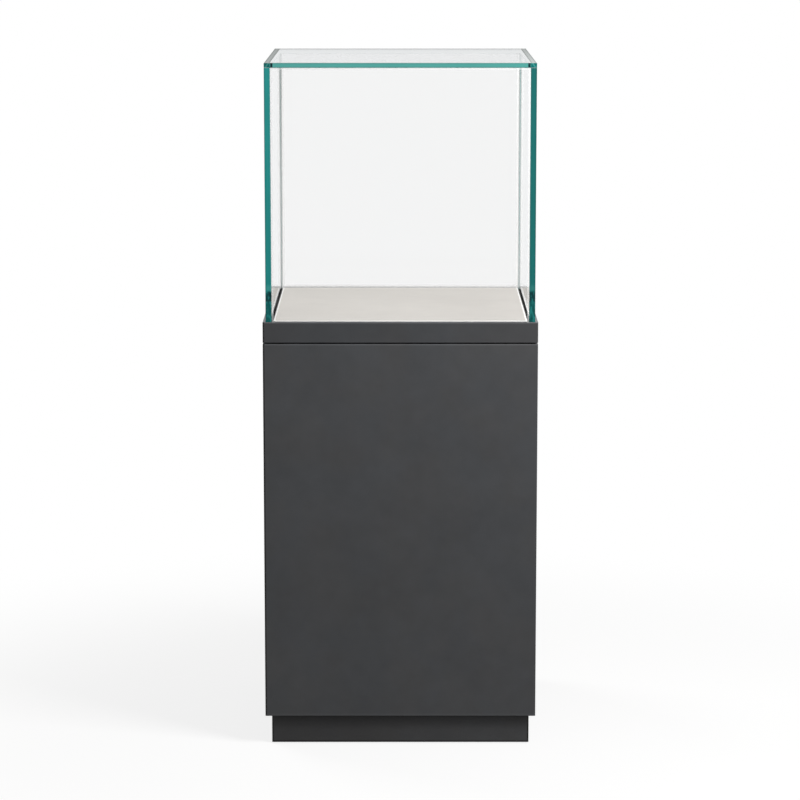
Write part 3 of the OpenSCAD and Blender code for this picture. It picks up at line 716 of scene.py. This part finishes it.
def turned(name, profile, sides=64):
    """A solid turned about Z. It is drawn from a disc, ring by ring."""
    bpy.ops.object.select_all(action="DESELECT")
    radius, height = profile[0]
    bpy.ops.mesh.primitive_circle_add(
        vertices=sides, radius=radius, fill_type="NGON", location=(0, 0, height), rotation=(0, 0, math.pi / 2)
    )
    piece = bpy.context.object
    piece.name = name
    bpy.ops.object.transform_apply(location=True, rotation=True, scale=True)
    bpy.ops.object.mode_set(mode="EDIT")
    bpy.ops.mesh.select_all(action="SELECT")
    for wide, high in profile[1:]:
        bpy.ops.mesh.extrude_region_move(TRANSFORM_OT_translate={"value": (0, 0, high - height)})
        bpy.ops.transform.resize(value=(wide / radius, wide / radius, 1), center_override=(0, 0, high))
        radius, height = wide, high
    bpy.ops.mesh.select_all(action="SELECT")
    bpy.ops.mesh.normals_make_consistent(inside=False)
    bpy.ops.object.mode_set(mode="OBJECT")
    return piece


def thread(name, root, pitch, low, turns):
    """A V thread round Z, wound up from low by a screw modifier and closed at its ends."""
    bpy.ops.object.select_all(action="DESELECT")
    half = pitch / 2
    bpy.ops.mesh.primitive_plane_add(
        size=half * math.sqrt(2), location=(root, 0, low + half), rotation=(math.pi / 2, math.pi / 4, 0)
    )
    piece = bpy.context.object
    piece.name = name
    bpy.ops.object.transform_apply(location=True, rotation=True, scale=True)
    inner = min(piece.data.vertices, key=lambda v: v.co.x).index
    edit(bpy.ops.mesh.select_all, action="DESELECT")
    piece.data.vertices[inner].select = True
    edit(bpy.ops.mesh.delete, type="VERT")
    bpy.ops.object.modifier_add(type="SCREW")
    winding = piece.modifiers[-1]
    winding.screw_offset, winding.iterations = pitch, turns
    winding.steps = winding.render_steps = 24
    winding.use_merge_vertices = True
    bpy.ops.object.modifier_apply(modifier=winding.name)
    reshape(
        (bpy.ops.mesh.remove_doubles, {"threshold": MERGED}),
        (bpy.ops.mesh.fill_holes, {"sides": 0}),
        (bpy.ops.mesh.normals_make_consistent, {"inside": False}),
    )
    return piece


# ---- Operators ----


class FinishPedestal(bpy.types.Operator):
    """Lacquers the body, the base, the drawer front and the door"""

    bl_idname = "display_case.finish_pedestal"
    bl_label = "Lacquer the pedestal"

    def execute(self, context):
        shades = context.scene.case_finishes
        body = lacquer("graphite_lacquer", shades.lacquer, sealer=shades.sealer)
        show(body, "front_panel", "right_panel", "rear_panel", "left_panel", "drawer_front", "access_door")
        base = lacquer("base_lacquer", shades.base_lacquer, gloss=0.5, shine=0.2)
        show(base, "base_front", "base_right", "base_rear", "base_left")
        return {"FINISHED"}


class FinishCollar(bpy.types.Operator):
    """Coats the collar and finishes its seal and gasket"""

    bl_idname = "display_case.finish_collar"
    bl_label = "Coat the collar"

    def execute(self, context):
        shades = context.scene.case_finishes
        coat = lacquer("powder_coat", shades.powder_coat, grain=1100.0, peel=0.00002, gloss=0.4, shine=0.24)
        show(coat, "collar_front", "collar_right", "collar_rear", "collar_left")
        show(moulded("seal_rubber", linear(22, 22, 23), 0.75), "collar_seal", "hood_gasket")
        show(metal("cleat_aluminium", linear(196, 198, 200), 0.42, (0.1, 1, 1)), "collar_cleats")
        return {"FINISHED"}


class FinishDeck(bpy.types.Operator):
    """Finishes the display deck's sheet and board"""

    bl_idname = "display_case.finish_deck"
    bl_label = "Finish the deck"

    def execute(self, context):
        shades = context.scene.case_finishes
        sheet = deck_sheet(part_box("deck_facing"), shades.deck, shades.deck_bevel_and_highlight, shades.deck_edge)
        show(sheet, "deck_facing")
        show(plywood("deck_ply", shades.ply, "z", shades.deck_edge), "deck_board")
        return {"FINISHED"}


class FinishGlass(bpy.types.Operator):
    """Finishes the hood's five panes"""

    bl_idname = "display_case.finish_glass"
    bl_label = "Finish the glass"

    def execute(self, context):
        shades = context.scene.case_finishes
        for side, edge_painted_light in WALL_PAINTED_LIGHT.items():
            pane = "glass_" + side
            across = "y" if side in ("front", "rear") else "x"
            show(wall_glass(side + "_wall_glass", across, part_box(pane), shades, edge_painted_light), pane)
        low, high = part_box("glass_right")
        show(top_glass(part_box("glass_top"), shades, high[0] - low[0]), "glass_top")
        return {"FINISHED"}


class FinishBoards(bpy.types.Operator):
    """Finishes the boards and battens inside the pedestal"""

    bl_idname = "display_case.finish_boards"
    bl_label = "Finish the inner boards"

    def execute(self, context):
        shades = context.scene.case_finishes
        show(plywood("flat_ply", shades.ply, "z"), "bottom_panel", "top_panel", "drawer_shelf")
        show(plywood("upright_ply", shades.ply, "x"), "drawer_cheeks")
        show(batten_wood("batten_wood", shades.pine), "corner_battens", "door_stops", "foot_blocks")
        return {"FINISHED"}


def zinc_plate(name):
    return metal(name, linear(190, 193, 198), 0.32, grain=120.0, cloudy=0.3)


class FinishMetal(bpy.types.Operator):
    """Finishes the screws, bolts, runners and other plain fittings"""

    bl_idname = "display_case.finish_metal"
    bl_label = "Finish the fittings"

    def execute(self, context):
        fasteners = ("panel_screws", "collar_bolts", "collar_nuts", "cleat_screws")
        show(zinc_plate("zinc_plate"), *fasteners, "drawer_runners", "drawer_slides")
        show(metal("pin_steel", linear(178, 180, 182), 0.34, (1, 1, 0.08)), "door_pivot_pins")
        return {"FINISHED"}


class BuildHoodAngle(bpy.types.Operator):
    """Models the black steel angle that the glass walls stand in, a hair clear of the glass"""

    bl_idname = "display_case.build_hood_angle"
    bl_label = "Build the hood's angle"

    def execute(self, context):
        steel = moulded("black_steel", linear(14, 14, 15), 0.7, shine=0.08)
        inner, _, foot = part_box("glass_right")[0]
        piece = rounded_copy("hood_frame", "hood_steel_angle", "hood", steel, 0.0002)
        for corner in piece.data.vertices:
            reach = max(abs(corner.co.x), abs(corner.co.y))
            corner.select = abs(reach - inner) < CLEAR_OF_GLASS and corner.co.z > foot - CLEAR_OF_GLASS
        pull_in = 1 - CLEAR_OF_GLASS / inner
        edit(bpy.ops.transform.resize, value=(pull_in, pull_in, 1), center_override=(0, 0, 0))
        for corner in piece.data.vertices:
            corner.select = abs(corner.co.z - foot) < CLEAR_OF_GLASS
        edit(bpy.ops.transform.translate, value=(0, 0, -CLEAR_OF_GLASS))
        return {"FINISHED"}


class BuildLocks(bpy.types.Operator):
    """Models the locks of the hood, the drawer and the door"""

    bl_idname = "display_case.build_locks"
    bl_label = "Build the locks"

    def execute(self, context):
        width = context.scene.case_sizes.metal_round
        brass = metal("sleeve_brass", linear(196, 162, 92), 0.28)
        plate = metal("striker_steel", linear(178, 180, 182), 0.34, (0.08, 1, 1))
        chrome = metal("lock_chrome", linear(196, 198, 202), 0.2, grain=90.0, cloudy=0.08)
        for side, outer in (("right", 1), ("left", 0)):
            shaft = "lock_shaft_" + side
            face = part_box(shaft)[outer][0]
            slot = ((face, 0, centre_of(shaft).z), AXES["x"], 0.0039)
            steel = metal("shaft_steel_" + side, linear(170, 172, 175), 0.3, (0.08, 1, 1), slot=slot)
            rounded_copy("lock_sleeve_" + side, "hood_lock_sleeve_" + side, "case", brass, width)
            rounded_copy(shaft, "hood_lock_shaft_" + side, "hood_lock_" + side, steel, width)
            rounded_copy("striker_" + side, "hood_striker_" + side, "hood", plate, width)
        for part in ("drawer", "door"):
            middle = centre_of(part + "_lock_body")
            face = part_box(part + "_lock_cam")[1][1]
            slot = ((middle.x, face, middle.z), AXES["y"], 0.0041)
            steel = metal(part + "_plug_steel", linear(180, 180, 184), 0.26, (1, 0.1, 1), 140.0, slot=slot)
            rounded_copy(part + "_lock_body", part + "_lock_barrel", part, chrome, width * 1.6, 3)
            rounded_copy(part + "_lock_cam", part + "_lock_plug", part + "_lock", steel, width)
        return {"FINISHED"}


class BuildTrayAndBushes(bpy.types.Operator):
    """Rounds the folded edges of the drawer's tray and the door's bushes"""

    bl_idname = "display_case.build_tray_and_bushes"
    bl_label = "Build the tray and bushes"

    def execute(self, context):
        sheet = metal("tray_steel", linear(178, 181, 183), 0.5, (1, 0.05, 1), 180.0, bare=0.5)
        rounded_copy("drawer_tray", "drawer_steel_tray", "drawer", sheet, 0.0004)
        nylon = moulded("bush_nylon", linear(38, 38, 40), 0.42)
        rounded_copy("door_bushes", "door_nylon_bushes", "door", nylon, 0.0003)
        return {"FINISHED"}


class BuildFeet(bpy.types.Operator):
    """Models the levelling feet: turned pads and threaded studs with hexagons"""

    bl_idname = "display_case.build_feet"
    bl_label = "Build the levelling feet"

    def execute(self, context):
        sizes = context.scene.case_sizes
        nylon = moulded("pad_nylon", linear(34, 34, 35), 0.5)
        zinc = zinc_plate("stud_zinc")
        pad = turned("pad", PAD_PROFILE)
        bpy.ops.object.shade_smooth_by_angle(angle=SMOOTH_BELOW)
        stud = turned("stud", STUD_PROFILE, 32)
        nut = turned("nut", HEXAGON_PROFILE, 6)
        round_edges(nut, 0.0006)
        pitch = sizes.thread_pitch
        winding = thread("winding", sizes.stud_radius - pitch / 2, pitch, THREAD_FOOT, THREAD_TURNS)
        only(stud, nut, winding)
        bpy.ops.object.join()
        bpy.ops.object.shade_smooth_by_angle(angle=SMOOTH_BELOW)
        parts = (("pad", pad, "black_plastic", nylon), ("stud", stud, "zinc", zinc))
        for corner in CORNERS:
            middle = centre_of("foot_pad_" + corner)
            for kind, model, slot, finish in parts:
                piece = twin(model.data, kind + "_of_foot_" + corner)
                reshape((bpy.ops.transform.translate, {"value": (middle.x, middle.y, 0)}))
                dress(piece, kind + "_" + corner, finish)
                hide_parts("foot_" + kind + "_" + corner)
        for model in (pad, stud):
            bpy.data.objects.remove(model)
        return {"FINISHED"}


def lamp(name, place, aim, size, energy):
    """A square lamp that doesn't show in the glass."""
    data = bpy.data.lights.new(name, "AREA")
    data.shape, data.size, data.energy = "SQUARE", size, energy
    data.color = (1.0, 0.995, 0.985)
    holder = bpy.data.objects.new(name, data)
    bpy.context.scene.collection.objects.link(holder)
    holder.location = place
    holder.rotation_euler = (Vector(aim) - Vector(place)).to_track_quat("-Z", "Y").to_euler()
    holder.visible_glossy = False


class BuildStudio(bpy.types.Operator):
    """Adds the floor, the light and the camera"""

    bl_idname = "display_case.build_studio"
    bl_label = "Build the studio"

    def execute(self, context):
        scene, studio = context.scene, context.scene.case_studio
        bpy.ops.object.select_all(action="DESELECT")
        bpy.ops.mesh.primitive_circle_add(
            vertices=96, radius=FLOOR_RADIUS, fill_type="NGON", location=(0, 0, 0)
        )
        floor = context.object
        floor.name = "studio_floor"
        f = Finish("studio_floor")
        paper = f.matt((0.9, 0.9, 0.9), 0.9)
        felt = f.matt((0.4, 0.4, 0.4), 0.9)
        white = f.add("Emission", feeds={"Color": WHITE, "Strength": 1.0})
        away = (f.x * f.x + f.y * f.y) ** 0.5
        bright = f.blend(0.8 + away.ramp(0.6, 1.8) * 0.2, paper, white)
        floor.data.materials.append(f.done(f.blend(f.seen(), felt, bright)))

        sky = Nodes(bpy.data.worlds.new("studio_world"), "World")
        light, backdrop = (
            sky.add("Background", feeds={"Color": WHITE, "Strength": strength})
            for strength in (studio.room_light, 1.0)
        )
        scene.world = sky.done(sky.blend(sky.seen(), light, backdrop))

        lamp("main_lamp", (1.5, -1.3, 2.3), (0, -0.2, 0.9), 1.0, studio.key_light)
        lamp("rear_lamp", (-2.6, 2.4, 2.4), (0, 0, 0.8), 2.0, studio.rear_light)

        eye = bpy.data.cameras.new("camera")
        eye.lens, eye.sensor_width, eye.clip_end = studio.lens, 36, 100
        camera = bpy.data.objects.new("camera", eye)
        scene.collection.objects.link(camera)
        camera.location = (CAMERA_X, -studio.camera_y, studio.camera_z)
        camera.rotation_euler = (math.pi / 2 - studio.pitch, 0, 0)
        scene.camera = camera
        scene.view_settings.view_transform = "Standard"
        scene.cycles.transparent_max_bounces = 32
        return {"FINISHED"}


STEPS = (
    FinishPedestal,
    FinishCollar,
    FinishDeck,
    FinishGlass,
    FinishBoards,
    FinishMetal,
    BuildHoodAngle,
    BuildLocks,
    BuildTrayAndBushes,
    BuildFeet,
    BuildStudio,
)


class CasePanel(bpy.types.Panel):
    """Lists the settings and the steps that finish the display case"""

    bl_idname = "VIEW3D_PT_display_case"
    bl_label = "Display case"
    bl_space_type = "VIEW_3D"
    bl_region_type = "UI"
    bl_category = "Display case"

    def draw(self, context):
        scene = context.scene
        for group in (scene.case_finishes, scene.case_sizes, scene.case_studio):
            box = self.layout.box()
            for name in group.__annotations__:
                box.prop(group, name)
        for step in STEPS:
            self.layout.operator(step.bl_idname)


SETTINGS = {"case_finishes": CaseFinishes, "case_sizes": CaseSizes, "case_studio": Studio}
CLASSES = (*SETTINGS.values(), *STEPS, CasePanel)


def register():
    for made in CLASSES:
        bpy.utils.register_class(made)
    for name, group in SETTINGS.items():
        setattr(bpy.types.Scene, name, PointerProperty(type=group))


def unregister():
    for name in SETTINGS:
        delattr(bpy.types.Scene, name)
    for made in reversed(CLASSES):
        bpy.utils.unregister_class(made)


def main():
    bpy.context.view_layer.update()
    register()
    for step in STEPS:
        group, name = step.bl_idname.split(".")
        getattr(getattr(bpy.ops, group), name)()


if __name__ == "__main__":
    main()
